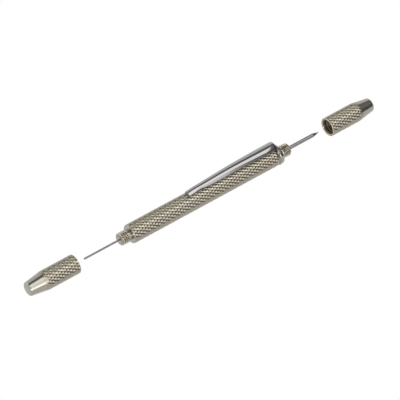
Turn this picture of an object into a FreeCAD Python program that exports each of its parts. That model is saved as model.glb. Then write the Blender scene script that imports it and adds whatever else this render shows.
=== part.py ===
"""Double-ended pocket scriber: a knurled barrel with a hard scriber needle at one end and a thin
probe wire at the other, a sprung pocket clip, and a screw-on protective cap for each end.

Units are millimetres. The tool lies along X with its pocket clip on top (+Z). The origin is on the
axis, half-way between the ends of the two threaded stubs. The scriber end is +X and the probe end
is -X. Both caps are unscrewed and drawn off along the axis.
"""
import FreeCAD, Part
import math
import os

V = FreeCAD.Vector

# Handle
HANDLE_LENGTH = 67.5        # from the probe-end shoulder to the collar
HANDLE_R = 3.75             # outside radius over the knurling
BARREL_CHAMFER = 0.3
SHEET = 0.4                 # sheet thickness of the pocket clip

# Threaded end plugs, M5 x 0.8
THREAD_R = 2.5              # major radius
THREAD_ROOT_R = 2.05
PITCH = 0.8
CREST = 0.12                # width of the flat on a thread's crest
SPIGOT_R = 2.0              # plain stem pressed into the barrel
SPIGOT_LENGTH = 6.5
COLLAR_LENGTH = 1.55
COLLAR_R_LARGE = 3.95       # at the barrel
COLLAR_R_SMALL = 3.8        # at the cap
COLLAR_EDGE = 0.15
SCRIBER_STUB = 4.45         # length of the threaded stub beyond the collar
SCRIBER_NECK = 0.7          # plain neck between collar and first thread
SCRIBER_STUB_END_R = 2.0
SCRIBER_STUB_CHAMFER = 0.4
PROBE_STUB = 4.75           # length of the threaded stub beyond the barrel
PROBE_NECK = 1.0
PROBE_STUB_END_R = 1.6
PROBE_STUB_DOME = 0.95

# Points
NEEDLE_R = 0.75
NEEDLE_REACH = 19.5         # from the collar to the needle's sharp tip
NEEDLE_CONE = 3.0
NEEDLE_TIP_R = 0.02
NEEDLE_ROOT = 8.0           # length held in the plug
PROBE_R = 0.375
PROBE_REACH = 20.2          # from the barrel to the probe's blunt tip
PROBE_TIP_CHAMFER = 0.1
PROBE_ROOT = 8.0

# Caps
CAP_LENGTH = 20.9
CAP_R = HANDLE_R
CAP_MOUTH_CHAMFER = 0.2
NOSE_LENGTH = 8.0           # tapered end of the cap
NOSE_R = 2.75               # where the taper meets the rounded edge
NOSE_EDGE = 0.45            # radius of that rounded edge
CAP_THREAD_R = 2.58         # threaded bore's inner radius, a running fit over the stub
CAP_THREAD_ROOT_R = 2.9
CAP_THREAD_DEPTH = 6.0
CAP_COUNTERBORE = 0.5       # plain lead-in at the mouth
CAP_BORE_STEP = 1.0         # length of the step from the threaded bore to the drilled one
CAP_BORE_R = 1.5
CAP_BORE_DEPTH = 19.9       # to the start of the drill's cone
CAP_DRILL_CONE = 0.6
SEAT_GAP = 0.05             # left between a seated cap and its shoulder
SCRIBER_CAP_OFF = 23.7      # how far each cap's mouth stands off its shoulder
PROBE_CAP_OFF = 24.1

# Pocket clip
RING_R = HANDLE_R - 0.15
TAB_WIDTH = 3.8
HINGE_Z = 5.9               # height at which the springing arm leaves the rigid tab
HINGE_GAP = 0.05
ARM_BEND = 0.8              # outside radius of the bend at the arm's root
ARM_INNER_BEND = 0.3
ARM_ROOT_DEPTH = 0.6        # sheet and arch together at the root
CLIP_REACH = 41.3           # from the tab's outer face to the arm's tip
FOOT_LIFT = 0.06            # clearance under the foot
FOOT_WIDTH = 2.2
# Cross-sections of the arched arm: distance from the tab's outer face, outer radius of the arch,
# half-angle of the arch in degrees, height of the crest above the axis.
ARM_SECTIONS = [
    (ARM_BEND, 2.95, 55.5, 6.98),
    (11.5, 2.69, 58.0, 6.98),
    (22.0, 2.2, 68.0, 6.81),
    (29.0, 2.0, 72.0, 6.41),
    (32.4, 1.94, 67.0, 6.18),
    (34.8, 1.86, 55.0, 6.05),
    (38.0, 1.75, 53.0, 5.88),
    (CLIP_REACH - SHEET, 1.75, 53.0, 5.47),
]

# Stations along X, worked out from the sizes above
STUB_SPAN = PROBE_STUB + HANDLE_LENGTH + COLLAR_LENGTH + SCRIBER_STUB
PROBE_SHOULDER = PROBE_STUB - STUB_SPAN / 2
COLLAR_START = PROBE_SHOULDER + HANDLE_LENGTH
COLLAR_END = COLLAR_START + COLLAR_LENGTH
RING_START = COLLAR_START - SHEET
PROBE_MOUTH = PROBE_SHOULDER - PROBE_CAP_OFF
SCRIBER_MOUTH = COLLAR_END + SCRIBER_CAP_OFF


def turned(profile):
    """Solid of revolution about X from (x, radius) points that start and end on the axis."""
    points = [V(x, 0, r) for x, r in profile]
    face = Part.Face(Part.makePolygon(points + points[:1]))
    return face.revolve(V(0, 0, 0), V(1, 0, 0), 360)


def disc(x, radius, length):
    return Part.makeCylinder(radius, length, V(x, 0, 0), V(1, 0, 0))


def thread_points(start, end, crest_r, root_r):
    """Zigzag (x, radius) points of a run of ring-shaped thread crests between two stations."""
    count = int((end - start) / PITCH)
    lead = (end - start - count * PITCH) / 2
    points = []
    for i in range(count):
        middle = start + lead + (i + 0.5) * PITCH
        points += [
            (middle - PITCH / 2, root_r),
            (middle - CREST / 2, crest_r),
            (middle + CREST / 2, crest_r),
        ]
    return points + [(start + lead + count * PITCH, root_r)]


def mirrored(shape):
    """The same shape turned to face the other way along X."""
    return shape.mirror(V(0, 0, 0), V(1, 0, 0))


def stub_profile(base, length, neck, end_r, end_length):
    """Outline of a threaded stub that starts at x = base and points to +X."""
    tip = base + length
    first = base + neck
    last = tip - end_length
    points = [(base, THREAD_ROOT_R)]
    points += thread_points(first, last, THREAD_R, THREAD_ROOT_R)
    points += [
        (last, THREAD_R - 0.05),
        (last + 0.45 * end_length, THREAD_R - 0.35 * (THREAD_R - end_r)),
        (tip, end_r),
    ]
    return points


def make_barrel():
    """Handle bar, drilled at both ends for the plugs. Its knurled outside is a plain cylinder."""
    c = BARREL_CHAMFER
    body = turned([
        (PROBE_SHOULDER, 0), (PROBE_SHOULDER, HANDLE_R - c), (PROBE_SHOULDER + c, HANDLE_R),
        (RING_START - c / 2, HANDLE_R), (RING_START, HANDLE_R - c / 2), (RING_START, 0),
    ])
    return body.cut([disc(PROBE_SHOULDER, SPIGOT_R, SPIGOT_LENGTH),
                     disc(RING_START - SPIGOT_LENGTH, SPIGOT_R, SPIGOT_LENGTH)])


def make_scriber_plug():
    """Spigot, collar and threaded stub in one turned piece, drilled for the needle."""
    c = COLLAR_EDGE
    profile = [
        (RING_START - SPIGOT_LENGTH, 0), (RING_START - SPIGOT_LENGTH, SPIGOT_R),
        (COLLAR_START, SPIGOT_R), (COLLAR_START, COLLAR_R_LARGE - c),
        (COLLAR_START + c, COLLAR_R_LARGE), (COLLAR_END - c, COLLAR_R_SMALL + c / 3),
        (COLLAR_END, COLLAR_R_SMALL - c),
    ]
    profile += stub_profile(COLLAR_END, SCRIBER_STUB, SCRIBER_NECK, SCRIBER_STUB_END_R,
                            SCRIBER_STUB_CHAMFER)
    stub_end = COLLAR_END + SCRIBER_STUB
    body = turned(profile + [(stub_end, 0)])
    return body.cut(disc(stub_end - NEEDLE_ROOT, NEEDLE_R, NEEDLE_ROOT))


def make_probe_plug():
    """Spigot and threaded stub in one turned piece, drilled for the probe wire."""
    base = -PROBE_SHOULDER
    profile = [(base - SPIGOT_LENGTH, 0), (base - SPIGOT_LENGTH, SPIGOT_R), (base, SPIGOT_R)]
    profile += stub_profile(base, PROBE_STUB, PROBE_NECK, PROBE_STUB_END_R, PROBE_STUB_DOME)
    stub_end = base + PROBE_STUB
    body = turned(profile + [(stub_end, 0)])
    return mirrored(body.cut(disc(stub_end - PROBE_ROOT, PROBE_R, PROBE_ROOT)))


def make_needle():
    """Hardened steel needle with a long ground cone."""
    root = COLLAR_END + SCRIBER_STUB - NEEDLE_ROOT
    tip = COLLAR_END + NEEDLE_REACH
    return turned([
        (root, 0), (root, NEEDLE_R), (tip - NEEDLE_CONE, NEEDLE_R), (tip, NEEDLE_TIP_R), (tip, 0),
    ])


def make_probe():
    """Straight thin wire with a blunt end."""
    root = -PROBE_SHOULDER + PROBE_STUB - PROBE_ROOT
    tip = -PROBE_SHOULDER + PROBE_REACH
    c = PROBE_TIP_CHAMFER
    return mirrored(turned([
        (root, 0), (root, PROBE_R), (tip - c, PROBE_R), (tip, PROBE_R - c), (tip, 0),
    ]))


def make_cap(mouth):
    """Cap whose open mouth is at x = mouth and whose tapered nose points to +X."""
    end = mouth + CAP_LENGTH
    c = CAP_MOUTH_CHAMFER
    steps = 4
    edge = [(end - NOSE_EDGE + NOSE_EDGE * math.sin(a), NOSE_R - NOSE_EDGE * (1 - math.cos(a)))
            for a in (math.radians(90.0 * i / steps) for i in range(steps + 1))]
    outside = [(mouth, 0), (mouth, CAP_R - c), (mouth + c, CAP_R), (end - NOSE_LENGTH, CAP_R)]
    body = turned(outside + edge + [(end, 0)])
    drill = mouth + CAP_BORE_DEPTH
    thread_start = mouth + CAP_COUNTERBORE
    thread_end = mouth + CAP_THREAD_DEPTH
    hollow = [(mouth, 0), (mouth, CAP_THREAD_ROOT_R), (thread_start - c, CAP_THREAD_ROOT_R),
              (thread_start, CAP_THREAD_R)]
    hollow += thread_points(thread_start, thread_end, CAP_THREAD_ROOT_R, CAP_THREAD_R)
    hollow += [(thread_end + c, CAP_THREAD_R), (thread_end + CAP_BORE_STEP, CAP_BORE_R),
               (drill, CAP_BORE_R), (drill + CAP_DRILL_CONE, 0)]
    return body.cut(turned(hollow))


def arch(x, outer_r, half_angle, crest):
    """Closed wire of the clip's arched cross-section at station x."""
    centre = V(x, 0, crest - outer_r)
    inner_r = outer_r - SHEET

    def at(radius, degrees):
        a = math.radians(degrees)
        return centre + V(0, radius * math.sin(a), radius * math.cos(a))

    outer = Part.Arc(at(outer_r, -half_angle), at(outer_r, 0), at(outer_r, half_angle))
    inner = Part.Arc(at(inner_r, half_angle), at(inner_r, 0), at(inner_r, -half_angle))
    sides = [Part.LineSegment(at(outer_r, half_angle), at(inner_r, half_angle)),
             Part.LineSegment(at(inner_r, -half_angle), at(outer_r, -half_angle))]
    return Part.Wire([outer.toShape(), sides[0].toShape(), inner.toShape(), sides[1].toShape()])


def under_arch(shape, outer_r, crest):
    """The part of a shape that lies under an arch of the given radius and crest height."""
    box = shape.BoundBox
    return shape.common(Part.makeCylinder(outer_r, box.XLength, V(box.XMin, 0, crest - outer_r),
                                          V(1, 0, 0)))


def make_clip_ring():
    """The clip's flat ring round the plug's spigot, with the tab that rises from it."""
    ring = disc(RING_START, RING_R, SHEET)
    height = HINGE_Z - HINGE_GAP / 2
    tab = Part.makeBox(SHEET, TAB_WIDTH, height, V(RING_START, -TAB_WIDTH / 2, 0))
    return ring.fuse(tab).cut(disc(RING_START, SPIGOT_R, SHEET)).removeSplitter()


def make_arm_root():
    """Top of the tab and the rounded bend that carries it over into the arm."""
    _, outer_r, _, crest = ARM_SECTIONS[0]
    inside = RING_START
    outside = COLLAR_START
    start = outside - ARM_BEND
    under = crest - ARM_ROOT_DEPTH
    foot = HINGE_Z + HINGE_GAP / 2
    turn = math.sqrt(0.5)
    bend = Part.Arc(V(start, 0, crest),
                    V(start + ARM_BEND * turn, 0, crest - ARM_BEND * (1 - turn)),
                    V(outside, 0, crest - ARM_BEND))
    corners = [V(outside, 0, crest - ARM_BEND), V(outside, 0, foot), V(inside, 0, foot),
               V(inside, 0, under - ARM_INNER_BEND), V(inside - ARM_INNER_BEND, 0, under),
               V(start, 0, under), V(start, 0, crest)]
    edges = [bend.toShape()] + [Part.makeLine(a, b) for a, b in zip(corners, corners[1:])]
    side = Part.Face(Part.Wire(edges))
    side.translate(V(0, -TAB_WIDTH / 2, 0))
    return under_arch(side.extrude(V(0, TAB_WIDTH, 0)), outer_r, crest)


def make_arm_foot():
    """End plate that closes the arch at the arm's tip and bears on the barrel."""
    _, outer_r, _, crest = ARM_SECTIONS[-1]
    tip = COLLAR_START - CLIP_REACH
    plate = Part.makeBox(SHEET, FOOT_WIDTH, crest, V(tip, -FOOT_WIDTH / 2, 0))
    return under_arch(plate, outer_r, crest).cut(disc(tip, HANDLE_R + FOOT_LIFT, SHEET))


def make_clip_arm():
    """Springing arm: tab top, rounded bend, arched strip and a foot."""
    sections = [arch(COLLAR_START - d, r, a, z) for d, r, a, z in reversed(ARM_SECTIONS)]
    strip = Part.makeLoft(sections, True, True)
    return strip.fuse([make_arm_root(), make_arm_foot()])


PARTS = {
    "barrel": make_barrel,
    "scriber_plug": make_scriber_plug,
    "probe_plug": make_probe_plug,
    "scriber_needle": make_needle,
    "probe_wire": make_probe,
    "clip_ring": make_clip_ring,
    "clip_arm": make_clip_arm,
    "scriber_cap": lambda: make_cap(SCRIBER_MOUTH),
    "probe_cap": lambda: mirrored(make_cap(-PROBE_MOUTH)),
}

os.makedirs("parts", exist_ok=True)
for name, make in PARTS.items():
    shape = make().Solids[0]
    shape.exportStep(f"parts/{name}.step")
    print(name, "valid" if shape.isValid() else "invalid", round(shape.Volume, 2), "mm3")
print("cap travel", round(SCRIBER_CAP_OFF - SEAT_GAP, 3), round(PROBE_CAP_OFF - SEAT_GAP, 3), "mm")
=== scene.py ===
"""Looks of a double-ended pocket scriber: knurled and nickel-plated, with a chrome pocket clip,
a scriber needle at +X, a probe wire at -X and a screw-on cap for each end, drawn off along the axis.

Sizes are in millimetres until a mesh is made, and Blender's metres after that. Stations along X
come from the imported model's boxes; profiles are (x, radius) points.
"""
import math

import bmesh
import bpy
import numpy as np
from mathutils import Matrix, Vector


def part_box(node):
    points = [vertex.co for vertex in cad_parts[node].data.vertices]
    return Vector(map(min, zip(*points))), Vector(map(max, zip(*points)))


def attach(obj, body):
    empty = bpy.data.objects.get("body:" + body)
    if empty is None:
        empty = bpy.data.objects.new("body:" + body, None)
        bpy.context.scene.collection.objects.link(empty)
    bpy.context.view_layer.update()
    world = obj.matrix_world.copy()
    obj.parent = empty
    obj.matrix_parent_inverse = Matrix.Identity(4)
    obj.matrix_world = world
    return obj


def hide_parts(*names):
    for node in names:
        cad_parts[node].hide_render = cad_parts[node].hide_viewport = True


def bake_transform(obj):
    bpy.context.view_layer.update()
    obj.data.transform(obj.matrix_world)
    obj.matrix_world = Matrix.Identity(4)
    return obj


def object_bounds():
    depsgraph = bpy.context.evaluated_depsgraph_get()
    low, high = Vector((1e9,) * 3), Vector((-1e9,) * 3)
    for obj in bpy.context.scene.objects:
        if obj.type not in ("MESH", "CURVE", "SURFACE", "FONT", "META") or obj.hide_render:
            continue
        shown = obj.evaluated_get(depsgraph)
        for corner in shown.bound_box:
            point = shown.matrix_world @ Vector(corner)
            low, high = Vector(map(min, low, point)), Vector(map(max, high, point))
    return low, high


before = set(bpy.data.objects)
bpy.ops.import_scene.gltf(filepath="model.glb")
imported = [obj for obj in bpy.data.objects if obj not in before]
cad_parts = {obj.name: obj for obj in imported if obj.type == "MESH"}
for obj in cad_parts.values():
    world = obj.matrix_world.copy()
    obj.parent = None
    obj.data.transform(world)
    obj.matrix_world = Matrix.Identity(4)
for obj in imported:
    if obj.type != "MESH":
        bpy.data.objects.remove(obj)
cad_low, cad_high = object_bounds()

MM = 0.001


def span(node):
    """First and last station of a CAD node along X, and its largest radius across Y, in mm."""
    low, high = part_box(node)
    return low.x / MM, high.x / MM, high.y / MM


BARREL_START, BARREL_END, HANDLE_R = span("barrel")
PLUG_START, SCRIBER_STUB_END, COLLAR_R = span("scriber_plug")
PROBE_STUB_END, PROBE_PLUG_END, THREAD_R = span("probe_plug")
NEEDLE_START, NEEDLE_TIP, NEEDLE_R = span("scriber_needle")
WIRE_TIP, WIRE_END, WIRE_R = span("probe_wire")
SCRIBER_MOUTH, SCRIBER_NOSE, CAP_R = span("scriber_cap")
PROBE_NOSE, PROBE_MOUTH, _ = span("probe_cap")
RING_START, COLLAR_START, RING_R = span("clip_ring")
CLIP_TIP, CLIP_FACE, _ = span("clip_arm")       # the tab's outer face, at its foot
CLIP_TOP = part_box("clip_arm")[1].z / MM

# Diamond knurl: two crossing families of grooves
KNURL_STARTS = 17
KNURL_PERIOD = 2.265        # along the axis
KNURL_DEPTH = 0.20
KNURL_SECOND = 0.5          # depth of the second family of grooves as a share of the first's
KNURL_FLAT = 0.40           # share of a period left flat between two grooves
KNURL_STEPS = 10            # mesh rows and columns in one period

# Threads
PITCH = 0.8
THREAD_ROOT_R = 2.05
CREST_SHARE = 0.14          # flat share of the pitch on the crest
ROOT_SHARE = 0.16           # and in the root
RUN_IN = 0.6                # share of the pitch over which a stub's thread starts
THREAD_COLUMNS = 96
THREAD_STEP = 0.05          # between mesh rows

CREASE = 28                 # degrees between faces from which an edge is sharp
ROUND_STEPS = 4             # mesh steps in a rounded edge


# ---------------------------------------------------------------- meshes

def zigzag(phase):
    """1 on whole numbers, 0 half-way between them."""
    return np.abs(2 * (phase - np.floor(phase)) - 1)


def knurl(x, theta, limit, reference):
    """(radius, dirt and painted shade) of the knurled surface, cut off at the limit radius; the deeper
    a groove, the darker it is painted.
    """
    around = KNURL_STARTS * theta / (2 * math.pi)
    along = (x - reference) / KNURL_PERIOD
    first = np.clip((zigzag(around + along) - KNURL_FLAT) / (1 - KNURL_FLAT), 0, 1)
    second = np.clip((zigzag(around - along) - KNURL_FLAT) / (1 - KNURL_FLAT), 0, 1)
    depth = np.maximum(first, KNURL_SECOND * second)
    radius = np.minimum(limit, HANDLE_R - KNURL_DEPTH * depth)
    return radius, np.where(radius >= limit - 1e-6, 0.0, depth)


def helix(x, theta):
    """Height from 0 in the root to 1 on the crest of a right-hand thread."""
    level = zigzag(x / PITCH + theta / (2 * math.pi))
    return np.clip((level - ROOT_SHARE) / (1 - ROOT_SHARE - CREST_SHARE), 0, 1)


def plain(x, theta, limit):
    """(radius, dirt and painted shade) of a clean round surface, which has none of either."""
    return np.full(theta.shape, limit), np.zeros(theta.shape)


def steps(start, end, size):
    """Evenly spaced stations from start to end, no further apart than size."""
    return np.linspace(start, end, max(2, int(math.ceil(abs(end - start) / size)) + 1))


def rounded(x, r, size, turn_from, turn_to):
    """(x, r) points of a rounded edge about its centre, between two angles in degrees."""
    return [(x + size * math.cos(a), r + size * math.sin(a))
            for a in np.linspace(math.radians(turn_from), math.radians(turn_to), ROUND_STEPS + 1)]


def lathe(name, rows, columns, loop=False):
    """Closed turned mesh. A row is (x, radius, pattern, material number of the band after it).
    The rows start and end on the axis, or the last one joins the first in a loop."""
    theta = 2 * math.pi * np.arange(columns) / columns
    verts, dirt_and_painted_shade, rings = [], [], []
    for x, r, pattern, _ in rows:
        if r == 0:
            rings.append([len(verts)])
            verts.append((x, 0.0, 0.0))
            dirt_and_painted_shade.append(0.0)
            continue
        radius, shade_and_dirt = pattern(x, theta, r)
        rings.append(list(range(len(verts), len(verts) + columns)))
        verts += [(x, q * math.sin(t), q * math.cos(t)) for q, t in zip(radius, theta)]
        dirt_and_painted_shade += list(shade_and_dirt)
    radii = [math.hypot(v[1], v[2]) for v in verts]
    faces, slots = [], []
    after = rings[1:] + (rings[:1] if loop else [])
    for a, b, row in zip(rings, after, rows):
        for j in range(columns):
            k = (j + 1) % columns
            if len(a) == 1:
                new = [(a[0], b[j], b[k])]
            elif len(b) == 1:
                new = [(a[j], b[0], a[k])]
            elif row[2] is plain:
                new = [(a[j], b[j], b[k], a[k])]
            elif radii[a[j]] + radii[b[k]] < radii[a[k]] + radii[b[j]]:
                new = [(a[j], b[j], b[k]), (a[j], b[k], a[k])]
            else:
                new = [(a[j], b[j], a[k]), (b[j], b[k], a[k])]
            faces += new
            slots += [row[3]] * len(new)
    mesh = bpy.data.meshes.new(name)
    mesh.from_pydata([(x * MM, y * MM, z * MM) for x, y, z in verts], [], faces)
    mesh.polygons.foreach_set("material_index", slots)
    # Per-point darkening read by the materials: dirt and painted shade in the knurl's grooves, the
    # thread roots, inner corners and the caps' bores
    mesh.attributes.new("dirt_and_painted_shade", "FLOAT", "POINT").data.foreach_set("value", dirt_and_painted_shade)
    return finished(name, mesh)


def finished(name, mesh, crease=CREASE):
    """Object of a mesh, with its normals outward and its creases sharp."""
    work = bmesh.new()
    work.from_mesh(mesh)
    bmesh.ops.recalc_face_normals(work, faces=work.faces)
    work.to_mesh(mesh)
    work.free()
    mesh.shade_smooth()
    mesh.set_sharp_from_angle(angle=math.radians(crease))
    piece = bpy.data.objects.new(name, mesh)
    bpy.context.scene.collection.objects.link(piece)
    return piece


def rows_of(points, pattern=plain, slot=0):
    """Rows for lathe() with one pattern and one material number."""
    return [(x, r, pattern, slot) for x, r in points]


# ---------------------------------------------------------------- turned parts

SPIGOT_R = 2.0
SPIGOT_LENGTH = 6.5
BARREL_CHAMFER = 0.3
END_TAPER = 1.0             # length of the barrel turned down towards the clip's ring
END_DROP = 0.25
EDGE_STEP = 0.1             # between mesh rows on the barrel's ends and after a cap's knurl
KNURL_STEP = KNURL_PERIOD / KNURL_STEPS
KNURL_COLUMNS = KNURL_STARTS * KNURL_STEPS


def make_barrel():
    """Knurled barrel with a socket in each end."""
    start, end, c = BARREL_START, BARREL_END, BARREL_CHAMFER
    first = start + c

    def pattern(x, theta, limit):
        return knurl(x, theta, limit, first)

    rows = rows_of([(start + SPIGOT_LENGTH, 0), (start + SPIGOT_LENGTH, SPIGOT_R), (start, SPIGOT_R)],
                   slot=1)
    rows += rows_of([(x, HANDLE_R - c + (x - start)) for x in steps(start, first, EDGE_STEP)[:-1]],
                    pattern)
    turned_from = end - END_TAPER
    rows += rows_of([(x, HANDLE_R) for x in np.arange(first, turned_from, KNURL_STEP)], pattern)
    rows += rows_of([(x, HANDLE_R - END_DROP * (x - turned_from) / END_TAPER)
                     for x in steps(turned_from, end, EDGE_STEP)], pattern)
    rows += rows_of([(end, SPIGOT_R), (end - SPIGOT_LENGTH, SPIGOT_R), (end - SPIGOT_LENGTH, 0)],
                    slot=1)
    return lathe("barrel_knurled", rows, KNURL_COLUMNS)


DOME_STEPS = 12


def stub(base, neck, tip, end_r, end_length, way):
    """Rows of a threaded stub from its shoulder to its domed tip; way is +1 or -1 along X."""
    root_end = base + way * neck
    dome_start = tip - way * end_length

    def thread(x, theta, limit):
        fade = np.clip(abs(x - root_end) / (RUN_IN * PITCH), 0, 1)
        high = THREAD_ROOT_R + (THREAD_R - THREAD_ROOT_R) * helix(x, theta) * fade
        radius = np.minimum(limit, high)
        # Darker towards the thread's roots and on the neck by the shoulder: dirt and painted shade
        return radius, fade * np.clip((THREAD_R - radius) / (THREAD_R - THREAD_ROOT_R), 0, 1)

    rows = rows_of([(base, THREAD_ROOT_R), (root_end, THREAD_ROOT_R)], thread, 1)
    rows += rows_of([(x, THREAD_R) for x in steps(root_end, dome_start, THREAD_STEP)[1:]], thread, 1)
    for i in range(1, DOME_STEPS + 1):
        turn = math.pi / 2 * i / DOME_STEPS
        x = dome_start + way * end_length * math.sin(turn)
        rows.append((x, end_r + (THREAD_R - end_r) * math.cos(turn), thread, 1))
    return rows + [(tip, 0, plain, 1)]


SCRIBER_STUB = 4.45         # from the collar to the stub's tip
SCRIBER_NECK = 1.2          # plain part before the thread
SCRIBER_STUB_R = 2.0        # radius of the flat on the tip
SCRIBER_DOME = 0.4          # length of the rounded end
PROBE_NECK = 1.0
PROBE_STUB_R = 1.6
PROBE_DOME = 0.95
COLLAR_ROUND = 0.3          # at its edge by the clip's ring
COLLAR_EDGE = 0.12          # and at the other one
COLLAR_DROP = 0.15          # from the larger end's radius to the smaller's
COLLAR_ROWS = 5             # mesh rows between the two edges


def make_scriber_plug():
    """Spigot, collar and threaded stub at the needle's end."""
    collar_end = SCRIBER_STUB_END - SCRIBER_STUB
    first, last = COLLAR_START + COLLAR_ROUND, collar_end - COLLAR_EDGE
    small_r = COLLAR_R - COLLAR_DROP
    slope = (small_r - COLLAR_R) / (collar_end - COLLAR_START)
    rows = rows_of([(PLUG_START, 0), (PLUG_START, SPIGOT_R), (COLLAR_START, SPIGOT_R)])
    rows += rows_of(rounded(first, COLLAR_R - COLLAR_ROUND, COLLAR_ROUND, 180, 90))
    rows += rows_of([(x, COLLAR_R + slope * (x - COLLAR_START))
                     for x in np.linspace(first, last, COLLAR_ROWS + 2)[1:-1]])
    rows += rows_of(rounded(last, small_r - COLLAR_EDGE, COLLAR_EDGE, 90, 0))
    rows += stub(collar_end, SCRIBER_NECK, SCRIBER_STUB_END, SCRIBER_STUB_R, SCRIBER_DOME, 1)
    return lathe("scriber_plug_turned", rows, THREAD_COLUMNS)


def make_probe_plug():
    """Spigot and threaded stub at the wire's end."""
    rows = rows_of([(PROBE_PLUG_END, 0), (PROBE_PLUG_END, SPIGOT_R), (BARREL_START, SPIGOT_R)])
    rows += stub(BARREL_START, PROBE_NECK, PROBE_STUB_END, PROBE_STUB_R, PROBE_DOME, -1)
    return lathe("probe_plug_turned", rows, THREAD_COLUMNS)


# Caps: distances along one run from its mouth to its nose
NOSE_LENGTH = 7.5
NOSE_R = 2.75
NOSE_EDGE = 0.65            # rounded by this
NOSE_STEPS = 8              # mesh steps in that edge
TAPER_STEP = 0.12           # between mesh rows where the knurl runs out on the taper
SMOOTH_STEP = 1.0           # and on the smooth part of the nose
RUN_OUT_SPARE = 0.3         # knurled rows go on by this beyond the knurl's end
BORE_THREAD_R = 2.58
BORE_THREAD_ROOT_R = 2.9
BORE_THREAD_END = 6.0
BORE_THREAD_STEP = 0.08
BORE_R = 1.5
BORE_CONE = 1.0             # length beyond the thread in which the bore narrows
BORE_DEPTH = 19.9
DRILL_CONE = 0.6
MOUTH_EDGE = 0.2            # chamfer outside the mouth
MOUTH_BEVEL = 0.2           # and inside it
MOUTH_GAP = 0.02            # keeps the mouth's flat clear of the outer chamfer
COUNTERBORE = 1.7           # depth of the plain counterbore before the thread
COUNTERBORE_R = 2.95
COUNTERBORE_STEP = 0.2
# Painted shade in the counterbore runs from 0 to 1, and is least half-way down, where the bright bore
# colour shows as a painted highlight
MOUTH_SHADE = 0.7            # at the mouth
MOUTH_SHADE_DEPTH = 0.5            # depth in which it falls by 1
LEAST_SHADE = 0.1
DEEP_SHADE_FROM = 0.9            # from here it rises by 1 in each mm


def make_cap(name, mouth, nose):
    """Cap from the bottom of its bore, out over the mouth and along the outside to its nose."""
    way = 1 if nose > mouth else -1
    length = abs(nose - mouth)
    c = MOUTH_EDGE

    def at(distance):
        return mouth + way * distance

    def bore_thread(x, theta, limit):
        inward = abs(x - mouth)
        fade = np.clip((BORE_THREAD_END - inward) / PITCH, 0, 1)
        radius = BORE_THREAD_R + (BORE_THREAD_ROOT_R - BORE_THREAD_R) * (1 - helix(x, theta)) * fade
        # The whole thread in the bore is given full darkening: painted shade deep in the cap
        return np.maximum(limit, radius), np.ones(theta.shape)

    def counterbore_shade(x, theta, limit):
        inward = abs(x - mouth)
        # Darker at the mouth and deeper in, lightest half-way down: painted shade, with a painted
        # highlight between
        shade_and_dirt = min(1, max(MOUTH_SHADE - inward / MOUTH_SHADE_DEPTH, LEAST_SHADE, inward - DEEP_SHADE_FROM))
        return np.full(theta.shape, limit), np.full(theta.shape, shade_and_dirt)

    def outside(x, theta, limit):
        return knurl(x, theta, limit, at(c))

    taper_start = length - NOSE_LENGTH
    slope = (CAP_R - NOSE_R) / (NOSE_LENGTH - NOSE_EDGE)
    knurl_end = taper_start + KNURL_DEPTH / slope + RUN_OUT_SPARE

    def limit_at(distance):
        return min(CAP_R, CAP_R - slope * (distance - taper_start))

    rows = rows_of([(at(BORE_DEPTH + DRILL_CONE), 0), (at(BORE_DEPTH), BORE_R),
                    (at(BORE_THREAD_END + BORE_CONE), BORE_R),
                    (at(BORE_THREAD_END + c), BORE_THREAD_R)], slot=1)
    rows += rows_of([(at(d), BORE_THREAD_R)
                     for d in steps(BORE_THREAD_END, COUNTERBORE, BORE_THREAD_STEP)], bore_thread, 2)
    rows += rows_of([(at(d), COUNTERBORE_R)
                     for d in steps(COUNTERBORE, MOUTH_BEVEL, COUNTERBORE_STEP)], counterbore_shade, 2)
    rows += rows_of([(at(0), COUNTERBORE_R + MOUTH_BEVEL), (at(0), CAP_R - c - MOUTH_GAP)], counterbore_shade, 2)
    rows += rows_of([(at(c * 0.5), CAP_R - c * 0.5)], outside)
    rows += rows_of([(at(d), CAP_R) for d in np.arange(c, taper_start, KNURL_STEP)], outside)
    rows += rows_of([(at(d), limit_at(d)) for d in steps(taper_start, knurl_end, TAPER_STEP)], outside)
    rows += rows_of([(at(d), limit_at(d))
                     for d in steps(knurl_end + EDGE_STEP, length - NOSE_EDGE, SMOOTH_STEP)], slot=1)
    for turn in np.linspace(0, math.pi / 2, NOSE_STEPS + 1)[1:]:
        rows.append((at(length - NOSE_EDGE + NOSE_EDGE * math.sin(turn)),
                     NOSE_R - NOSE_EDGE * (1 - math.cos(turn)), plain, 1))
    rows.append((at(length), 0, plain, 1))
    return lathe(name, rows, KNURL_COLUMNS)


POINT_LENGTH = 3.0          # the needle's ground cone
POINT_R = 0.02              # left at its tip
POINT_STEP = 0.3            # between mesh rows on the cone
SHANK_GAP = 0.1             # keeps the shank's last row clear of the cone
NEEDLE_COLUMNS = 48
WIRE_CHAMFER = 0.1
WIRE_COLUMNS = 32


def make_needle():
    """Round shank with a ground conical point."""
    shank_end = NEEDLE_TIP - POINT_LENGTH
    rows = rows_of([(NEEDLE_START, 0), (NEEDLE_START, NEEDLE_R), (shank_end - SHANK_GAP, NEEDLE_R)])
    rows += rows_of([(x, POINT_R + (NEEDLE_R - POINT_R) * (NEEDLE_TIP - x) / POINT_LENGTH)
                     for x in steps(shank_end, NEEDLE_TIP, POINT_STEP)], slot=1)
    rows.append((NEEDLE_TIP, 0, plain, 1))
    return lathe("needle_ground", rows, NEEDLE_COLUMNS)


def make_wire():
    """Thin round wire with a blunt end."""
    c = WIRE_CHAMFER
    rows = rows_of([(WIRE_END, 0), (WIRE_END, WIRE_R), (WIRE_TIP + c, WIRE_R),
                    (WIRE_TIP, WIRE_R - c), (WIRE_TIP, 0)])
    return lathe("wire_drawn", rows, WIRE_COLUMNS)


# ---------------------------------------------------------------- pocket clip

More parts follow.
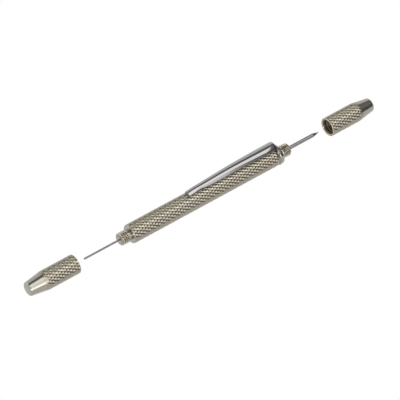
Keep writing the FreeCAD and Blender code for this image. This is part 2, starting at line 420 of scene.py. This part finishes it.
SHEET = 0.4                 # thickness
TAB_HALF = 1.9              # half the tab's width
TAB_FOOT = 3.3              # height at which the tab starts, inside its ring
LEAN = 0.6                  # how far the tab leans towards -X between the barrel and the crest
BEND = 0.8                  # height of the root bend
BEND_CREST = 1.0            # its length along X at the crest,
BEND_NEAR = 6.5             # at the strip's -Y edge, where it is flared,
BEND_FAR = 0.7              # and at the +Y edge
FLARE_POWER = 0.8           # power of the distance from the crest with which that length grows
MERGE = 9.0                 # distance from the tab at which the flare has run out
# Distance from the tab's outer face, crest height, curvature of the arch, half the strip's width
ARM = np.array([
    (0.8, 6.98, 0.345, 2.84),
    (11.5, 6.98, 0.372, 2.72),
    (22.0, 6.81, 0.455, 2.62),
    (29.0, 6.41, 0.500, 2.52),
    (32.4, 6.18, 0.515, 2.28),
    (34.8, 6.05, 0.538, 1.78),
    (38.0, 5.88, 0.571, 1.63),
    (41.0, 5.46, 0.571, 1.62),
])
EDGE_ROUND = 0.1
CORNER_STEPS = 4            # mesh steps in a rounded edge of the sheet,
ACROSS = 24                 # across the strip,
TAB_STEPS = 5               # up the tab
BEND_STEPS = 14             # and round the bend
ARM_STEP = 0.4              # between mesh sections of the arm
CLIP_CREASE = 35            # degrees


def through(knots, at):
    """Smooth curve through rows of (station, values...), read at the given stations."""
    where, values = knots[:, 0], knots[:, 1:]
    slope = np.gradient(values, where, axis=0)
    i = np.clip(np.searchsorted(where, at, side="right") - 1, 0, len(where) - 2)
    gap = (where[i + 1] - where[i])[:, None]
    t = ((at - where[i]) / gap[:, 0])[:, None]
    return ((2 * t ** 3 - 3 * t ** 2 + 1) * values[i] + (t ** 3 - 2 * t ** 2 + t) * gap * slope[i]
            + (3 * t ** 2 - 2 * t ** 3) * values[i + 1] + (t ** 3 - t ** 2) * gap * slope[i + 1])


def sheet_edge(half):
    """(across, depth) points round the edge of the flattened sheet, outer face first."""
    corner = [(EDGE_ROUND * (1 - math.sin(a)), EDGE_ROUND * (1 - math.cos(a)))
              for a in np.linspace(0, math.pi / 2, CORNER_STEPS + 1)]
    flat = [(-half + EDGE_ROUND + (2 * half - 2 * EDGE_ROUND) * i / ACROSS, 0.0)
            for i in range(ACROSS + 1)]
    right = [(half - inset, depth) for inset, depth in corner[1:]]
    right += [(s, SHEET - d) for s, d in reversed(right)]
    return (flat + right + [(s, SHEET) for s, _ in reversed(flat)]
            + [(-s, d) for s, d in reversed(right)])


def arched(crest, curvature, s, depth):
    """(y, z) of a point of the sheet on an arch."""
    a = curvature * s
    r = 1 / curvature - depth
    return r * math.sin(a), crest - 1 / curvature + r * math.cos(a)


def loft(sections):
    """Closed bmesh through loops with the same number of points."""
    work = bmesh.new()
    rings = [[work.verts.new(Vector(p) * MM) for p in s] for s in sections]
    for a, b in zip(rings, rings[1:]):
        for j in range(len(a)):
            k = (j + 1) % len(a)
            work.faces.new((a[j], a[k], b[k], b[j]))
    work.faces.new(rings[0])
    work.faces.new(rings[-1])
    return work


def make_strip():
    """Tab, flared root bend and arched arm in one bent sheet."""
    _, crest, curvature, half = ARM[0]
    edge = sheet_edge(half)

    def flare(s):
        """Length of the bend along X at a distance from the crest."""
        edge_length = BEND_NEAR if s < 0 else BEND_FAR
        return BEND_CREST + (edge_length - BEND_CREST) * abs(s / half) ** FLARE_POWER

    def lean(z):
        """How far the tab stands back at a height."""
        return LEAN * max(0, z - HANDLE_R) / (CLIP_TOP - HANDLE_R)

    def bent(s, depth, turn):
        """Point of the bend, from 0 at the tab to a quarter turn at the arm."""
        a = curvature * s
        tab_y = s / half * TAB_HALF
        arm_y, top = arched(crest, curvature, s, 0)
        side, up = math.cos(turn), math.sin(turn)
        z = top - BEND * (1 - up) - depth * up * math.cos(a)
        return (CLIP_FACE - flare(s) * (1 - side) - depth * side - lean(z),
                tab_y + (arm_y - tab_y) * up - depth * up * math.sin(a), z)

    sections = []
    for share in np.linspace(0, 1, TAB_STEPS + 1)[:-1]:
        section = []
        for s, depth in edge:
            x, y, top = bent(s, depth, 0)
            z = TAB_FOOT + (top - TAB_FOOT) * share
            section.append((x + lean(top) - lean(z), y, z))
        sections.append(section)
    for turn in np.linspace(0, math.pi / 2, BEND_STEPS + 1):
        sections.append([bent(s, depth, turn) for s, depth in edge])
    stations = steps(BEND, ARM[-1, 0], ARM_STEP)[1:]
    for d, (z, curve, width) in zip(stations, through(ARM, stations)):
        share = min(1, (d - BEND) / (MERGE - BEND))
        section = [arched(z, curve, s, depth) for s, depth in sheet_edge(width)]
        sections.append([(CLIP_FACE - d - (1 - share) * (flare(s) - BEND + lean(z)), y, z)
                         for (s, _), (y, z) in zip(edge, section)])
    return loft(sections)


def make_ring():
    """Flat ring round the spigot, clamped between the barrel and the collar."""
    rows = rows_of([(RING_START, SPIGOT_R), (RING_START, RING_R),
                    (COLLAR_START, RING_R), (COLLAR_START, SPIGOT_R)])
    return lathe("clip_ring_flat", rows, THREAD_COLUMNS, loop=True)


FOOT_HALF = 1.1             # half the width of the end plate's lower edge
FOOT_GAP = 0.05             # between that edge and the knurl's crests
FOOT_OVERLAP = 0.05         # the plate is thicker than the sheet by this
FOOT_ROUND = 0.12
FOOT_TOP_STEPS, FOOT_LOW_STEPS, FOOT_ROUND_STEPS = 16, 8, 3


def make_foot():
    """End plate that closes the arch and bears on the barrel."""
    _, crest, curvature, half = ARM[-1]
    arc = np.linspace(-curvature * half, curvature * half, FOOT_TOP_STEPS + 1)
    outline = [(math.sin(a) / curvature, crest - (1 - math.cos(a)) / curvature) for a in arc]
    rest_r = HANDLE_R + FOOT_GAP
    outline += [(y, math.sqrt(rest_r ** 2 - y ** 2))
                for y in np.linspace(FOOT_HALF, -FOOT_HALF, FOOT_LOW_STEPS + 1)]
    work = loft([[(x, y, z) for y, z in outline] for x in (CLIP_TIP, CLIP_TIP + SHEET + FOOT_OVERLAP)])
    rim = [e for e in work.edges if all(abs(v.co.x / MM - CLIP_TIP) < 1e-3 for v in e.verts)]
    bmesh.ops.bevel(work, geom=rim, offset=FOOT_ROUND * MM, segments=FOOT_ROUND_STEPS, affect="EDGES")
    return work


def make_clip():
    """Strip and end plate in one mesh."""
    joined = bmesh.new()
    for part in (make_strip(), make_foot()):
        mesh = bpy.data.meshes.new("clip_part")
        part.to_mesh(mesh)
        part.free()
        joined.from_mesh(mesh)
        bpy.data.meshes.remove(mesh)
    mesh = bpy.data.meshes.new("pocket_clip_sheet")
    joined.to_mesh(mesh)
    joined.free()
    return finished("pocket_clip_sheet", mesh, crease=CLIP_CREASE)


# ---------------------------------------------------------------- materials

# Colours, linear
NICKEL = (0.353, 0.340, 0.314, 1)
NICKEL_WARM = (0.33, 0.31, 0.27, 1)
KNURL_NICKEL = (0.33, 0.306, 0.255, 1)
KNURL_WARM = (0.325, 0.286, 0.222, 1)
# Dark brown that nickel is mixed towards: dirt and painted shade in grooves, roots and corners
NICKEL_DIRT_AND_SHADE = (0.10, 0.088, 0.062, 1)
# Nickel lighter than the rest of the plug, so that the threaded stubs look lit: painted light
THREAD_NICKEL_LIT = (0.44, 0.41, 0.345, 1)
# Bright gold of the bore where its painted shade is least: a painted highlight
BORE_NICKEL_LIT = (0.80, 0.70, 0.52, 1)
# Near black: painted shade deep in the bore and at its mouth
BORE_SHADE = (0.03, 0.026, 0.018, 1)
CHROME = (0.35, 0.352, 0.355, 1)
CHROME_COOL = (0.32, 0.32, 0.325, 1)
STEEL = (0.30, 0.30, 0.292, 1)
STEEL_GROUND = (0.16, 0.16, 0.157, 1)
STEEL_DARK = (0.1, 0.1, 0.1, 1)
WHITE = (1, 1, 1, 1)

NOISE_LOW, NOISE_HIGH = 0.3, 0.7        # a fine noise mostly stays between these,
BLOTCH_LOW, BLOTCH_HIGH = 0.35, 0.65    # and a coarse one between these
NOISE_ROUGHNESS = 0.55


class Nodes:
    """Short names for building a node tree."""

    def __init__(self, tree):
        self.tree = tree

    def add(self, kind, inputs=None, **settings):
        node = self.tree.nodes.new(kind)
        for key, value in settings.items():
            setattr(node, key, value)
        for key, value in (inputs or {}).items():
            self.put(value, node.inputs[key])
        return node

    def put(self, value, socket):
        if isinstance(value, bpy.types.NodeSocket):
            self.tree.links.new(value, socket)
        else:
            socket.default_value = value

    def math(self, operation, a, b):
        return self.add("ShaderNodeMath", {0: a, 1: b}, operation=operation).outputs[0]

    def range(self, value, low, high, to_low=0.0, to_high=1.0):
        node = self.add("ShaderNodeMapRange", {"Value": value, "From Min": low, "From Max": high,
                                               "To Min": to_low, "To Max": to_high})
        return node.outputs["Result"]

    def mix(self, share, a, b, blend="MIX"):
        node = self.add("ShaderNodeMix", {"Factor": share, "A": a, "B": b},
                        data_type="RGBA", blend_type=blend)
        return node.outputs["Result"]


class Metal(Nodes):
    """A new metal material."""

    def __init__(self, name):
        self.material = bpy.data.materials.new(name)
        self.material.use_nodes = True
        super().__init__(self.material.node_tree)
        self.shader = self.tree.nodes["Principled BSDF"]
        self.place = self.add("ShaderNodeTexCoord").outputs["Object"]

    def dirt_and_painted_shade(self):
        """The mesh's own dirt and painted shade, from 0 to 1."""
        return self.add("ShaderNodeAttribute", attribute_name="dirt_and_painted_shade").outputs["Fac"]

    def noise(self, scale, detail=3.0, stretch=(1, 1, 1)):
        """Noise in cycles per millimetre; stretch squeezes the pattern along each axis."""
        place = self.add("ShaderNodeMapping", {"Vector": self.place,
                                               "Scale": [k * scale / MM for k in stretch]})
        node = self.add("ShaderNodeTexNoise", {"Vector": place.outputs[0], "Scale": 1.0,
                                               "Detail": detail, "Roughness": NOISE_ROUGHNESS})
        return node.outputs["Fac"]

    def spread(self, noise, to_low, to_high):
        """A fine noise drawn out to new limits."""
        return self.range(noise, NOISE_LOW, NOISE_HIGH, to_low, to_high)

    def blotched(self, colour, other, scale, most):
        """A colour with coarse blotches of another, of at most the given share."""
        share = self.range(self.noise(scale), BLOTCH_LOW, BLOTCH_HIGH, to_high=most)
        return self.mix(share, colour, other)

    def bump(self, height, depth, strength):
        """Bump of a depth in mm."""
        node = self.add("ShaderNodeBump", {"Height": height, "Distance": depth * MM,
                                           "Strength": strength})
        self.put(node.outputs["Normal"], self.shader.inputs["Normal"])

    def made(self, colour, roughness):
        """The finished material."""
        self.put(1.0, self.shader.inputs["Metallic"])
        self.put(colour, self.shader.inputs["Base Color"])
        self.put(roughness, self.shader.inputs["Roughness"])
        return self.material


def knurled_nickel():
    m = Metal("knurled_nickel")
    patch = m.noise(0.35, detail=4)
    # The deepest parts of the grooves are painted dark in patches: dirt and painted shade
    shade_and_dirt = m.math("MULTIPLY", m.range(m.dirt_and_painted_shade(), 0.65, 1.0, to_high=0.6), m.spread(patch, 0.6, 1.0))
    m.bump(m.noise(8.0, detail=2), depth=0.004, strength=0.5)
    return m.made(m.mix(shade_and_dirt, m.blotched(KNURL_NICKEL, KNURL_WARM, 0.12, 0.35), NICKEL_DIRT_AND_SHADE),
                  m.math("ADD", m.spread(m.noise(3.0), 0.14, 0.22), m.math("MULTIPLY", shade_and_dirt, 0.25)))


def turned_nickel():
    m = Metal("turned_nickel")
    lines = m.noise(1.0, detail=2, stretch=(14, 0.4, 0.4))
    m.bump(lines, depth=0.004, strength=0.6)
    # Darker in inner corners, such as by the stub's shoulder: painted shade
    return m.made(m.mix(m.range(m.dirt_and_painted_shade(), 0.2, 1.0, to_high=0.8),
                        m.blotched(NICKEL, NICKEL_WARM, 0.15, 0.3), NICKEL_DIRT_AND_SHADE),
                  m.spread(lines, 0.10, 0.18))


def lit_thread_nickel():
    m = Metal("lit_thread_nickel")
    patch = m.noise(0.5, detail=4)
    # Darker in the thread roots and by the shoulder: dirt and painted shade
    shade_and_dirt = m.math("MULTIPLY", m.range(m.dirt_and_painted_shade(), 0.4, 1.0, to_high=0.7), m.spread(patch, 0.5, 1.0))
    m.bump(m.noise(6.0, detail=2), depth=0.003, strength=0.5)
    return m.made(m.mix(shade_and_dirt, THREAD_NICKEL_LIT, NICKEL_DIRT_AND_SHADE), m.spread(patch, 0.16, 0.26))


def bore_painted_light():
    m = Metal("bore_painted_light")
    patch = m.noise(1.2)
    # Bore colour from the bright gold painted highlight to the near black painted shade
    shade_and_dirt = m.math("MULTIPLY", m.dirt_and_painted_shade(), m.spread(patch, 0.85, 1.0))
    m.bump(m.noise(1.0, detail=2, stretch=(8, 0.5, 0.5)), depth=0.004, strength=0.5)
    return m.made(m.mix(shade_and_dirt, BORE_NICKEL_LIT, BORE_SHADE), m.spread(patch, 0.30, 0.42))


def clip_chrome():
    m = Metal("clip_chrome")
    scratches = m.noise(1.0, stretch=(0.4, 9, 9))
    m.bump(scratches, depth=0.002, strength=0.5)
    return m.made(m.blotched(CHROME, CHROME_COOL, 0.3, 0.25), m.spread(scratches, 0.06, 0.12))


def drawn_steel(name, dull):
    """Steel with lines along X; dull is the least share of the ground colour in it."""
    m = Metal(name)
    lines = m.noise(1.0, stretch=(0.6, 8, 8))
    m.bump(lines, depth=0.003, strength=0.6)
    return m.made(m.mix(m.spread(lines, dull, dull + 0.4), STEEL, STEEL_GROUND),
                  m.spread(lines, 0.18, 0.30))


def ground_steel():
    m = Metal("ground_steel")
    lines = m.noise(1.0, stretch=(18, 1, 1))
    m.bump(lines, depth=0.004, strength=0.7)
    return m.made(m.mix(m.spread(lines, 0.0, 0.5), STEEL_GROUND, STEEL_DARK),
                  m.spread(lines, 0.22, 0.36))


# ---------------------------------------------------------------- pieces on their bodies

KNURLED, TURNED, CHROMED = knurled_nickel(), turned_nickel(), clip_chrome()
THREADED, BORE = lit_thread_nickel(), bore_painted_light()
SHANK, WIRE, GROUND = drawn_steel("shank_steel", 0.0), drawn_steel("wire_steel", 0.4), ground_steel()


def dress(piece, materials, slot, *nodes):
    """Give a piece its materials and hide the CAD nodes it stands for; slot is not used."""
    for material in materials:
        piece.data.materials.append(material)
    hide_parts(*nodes)


def place(piece, body, materials, slot, *nodes):
    """Dress a piece and let it ride on one body."""
    dress(piece, materials, slot, *nodes)
    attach(piece, body)


place(make_barrel(), "handle", [KNURLED, TURNED], "knurled_nickel", "barrel")
place(make_scriber_plug(), "handle", [TURNED, THREADED], "turned_nickel", "scriber_plug")
place(make_probe_plug(), "handle", [TURNED, THREADED], "turned_nickel", "probe_plug")
place(make_needle(), "handle", [SHANK, GROUND], "needle_steel", "scriber_needle")
place(make_wire(), "handle", [WIRE], "wire_steel", "probe_wire")
place(make_cap("scriber_cap_knurled", SCRIBER_MOUTH, SCRIBER_NOSE), "scriber_cap",
      [KNURLED, TURNED, BORE], "knurled_nickel", "scriber_cap")
place(make_cap("probe_cap_knurled", PROBE_MOUTH, PROBE_NOSE), "probe_cap",
      [KNURLED, TURNED, BORE], "knurled_nickel", "probe_cap")

clip = make_clip()
dress(clip, [CHROMED], "clip_chrome", "clip_arm")
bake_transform(clip)

place(make_ring(), "handle", [CHROMED], "clip_chrome", "clip_ring")

# ---------------------------------------------------------------- floor, light and camera

AZIMUTH, ELEVATION = -37.8, 44.3
DISTANCE = 1000.0               # mm from the camera to the point it looks at
FIELD = 146.4                   # mm seen across the picture at that distance
AIM = (-2.54, -0.48, -1.31)     # the point it looks at, mm
SENSOR = 36.0                   # mm
NEAREST, FARTHEST = 0.01, 20    # metres seen from the camera


def make_camera():
    """Camera above the clip's near side, far off, so that the perspective is weak."""
    a, e = math.radians(AZIMUTH), math.radians(ELEVATION)
    back = Vector((math.sin(a) * math.cos(e), -math.cos(a) * math.cos(e), math.sin(e)))
    data = bpy.data.cameras.new("camera")
    data.sensor_width = SENSOR
    data.lens = SENSOR * DISTANCE / FIELD
    data.clip_start, data.clip_end = NEAREST, FARTHEST
    camera = bpy.data.objects.new("camera", data)
    camera.location = (Vector(AIM) + back * DISTANCE) * MM
    camera.rotation_mode = "QUATERNION"
    camera.rotation_quaternion = (-back).to_track_quat("-Z", "Y")
    bpy.context.scene.collection.objects.link(camera)
    bpy.context.scene.camera = camera


FLOOR_HALF = 3.0                # metres
FLOOR_GLOW = 1.0
# Brightness of the studio by the angle round the X axis, in degrees: 0 is the horizon on the
# clip's near side (-Y), 90 straight up and 180 the horizon on the far side. ROOM has each list
# after the first, with the x of a direction where the room starts to change to it, and has changed.
PROBE_END = [(0, 1.0), (3, 3.8), (27, 3.8), (33, 0.6), (52, 0.6), (62, 1.6), (88, 1.6),
             (94, 0.35), (124, 0.35), (129, 1.5), (180, 1.5)]
PROBE_SIDE = [(0, 0.5), (5, 0.5), (8, 2.9), (31, 2.9), (35, 1.95), (60, 2.1), (88, 2.15), (94, 0.25),
              (124, 0.25), (129, 1.0), (180, 1.0)]
MIDDLE = [(0, 0.2), (44, 0.3), (52, 1.95), (88, 1.95), (94, 0.22), (124, 0.22), (129, 1.0), (180, 1.0)]
SCRIBER_SIDE = [(0, 0.15), (30, 0.15), (60, 0.32), (90, 0.32), (94, 0.25), (124, 0.25), (129, 1.0),
                (180, 1.0)]
SCRIBER_END = [(0, 0.04), (60, 0.06), (90, 0.12), (94, 0.25), (124, 0.25), (129, 1.0), (180, 1.0)]
ROOM = ((PROBE_SIDE, 0.0, 0.12), (MIDDLE, 0.30, 0.42), (SCRIBER_SIDE, 0.50, 0.62),
        (SCRIBER_END, 0.74, 0.86))
BRIGHTEST = 3.8
WARMTH = (1.0, 0.985, 0.95, 1)


def make_floor():
    """White light table, so that the tool throws no shadow."""
    z = cad_low.z
    mesh = bpy.data.meshes.new("floor")
    mesh.from_pydata([(x * FLOOR_HALF, y * FLOOR_HALF, z)
                      for x, y in ((-1, -1), (1, -1), (1, 1), (-1, 1))], [], [(0, 1, 2, 3)])
    material = bpy.data.materials.new("floor")
    material.use_nodes = True
    material.node_tree.nodes.clear()
    n = Nodes(material.node_tree)
    glow = n.add("ShaderNodeEmission", {"Color": WHITE, "Strength": FLOOR_GLOW})
    n.add("ShaderNodeOutputMaterial", {"Surface": glow.outputs[0]})
    mesh.materials.append(material)
    floor = bpy.data.objects.new("floor", mesh)
    bpy.context.scene.collection.objects.link(floor)


def make_studio():
    """Soft light all round, darker towards the +X end."""
    world = bpy.data.worlds.new("studio")
    bpy.context.scene.world = world
    world.use_nodes = True
    world.node_tree.nodes.clear()
    n = Nodes(world.node_tree)
    place = n.add("ShaderNodeTexCoord").outputs["Generated"]
    direction = n.add("ShaderNodeSeparateXYZ", {0: place}).outputs
    near = n.math("MULTIPLY", direction["Y"], -1.0)
    turn = n.range(n.math("ARCTAN2", direction["Z"], near), 0.0, math.pi)

    def ramp(levels):
        node = n.add("ShaderNodeValToRGB", {"Fac": turn})
        stops = node.color_ramp.elements
        stops[1].position = 1.0
        for angle, _ in levels[1:-1]:
            stops.new(angle / 180)
        for stop, (_, level) in zip(stops, levels):
            stop.color = [level / BRIGHTEST] * 3 + [1]
        return node.outputs["Color"]

    light = ramp(PROBE_END)
    for levels, start, end in ROOM:
        light = n.mix(n.range(direction["X"], start, end), light, ramp(levels))
    glow = n.add("ShaderNodeBackground", {"Color": n.mix(1.0, light, WARMTH, "MULTIPLY"),
                                          "Strength": BRIGHTEST})
    n.add("ShaderNodeOutputWorld", {"Surface": glow.outputs[0]})


make_camera()
make_floor()
make_studio()
bpy.context.scene.view_settings.view_transform = "Standard"
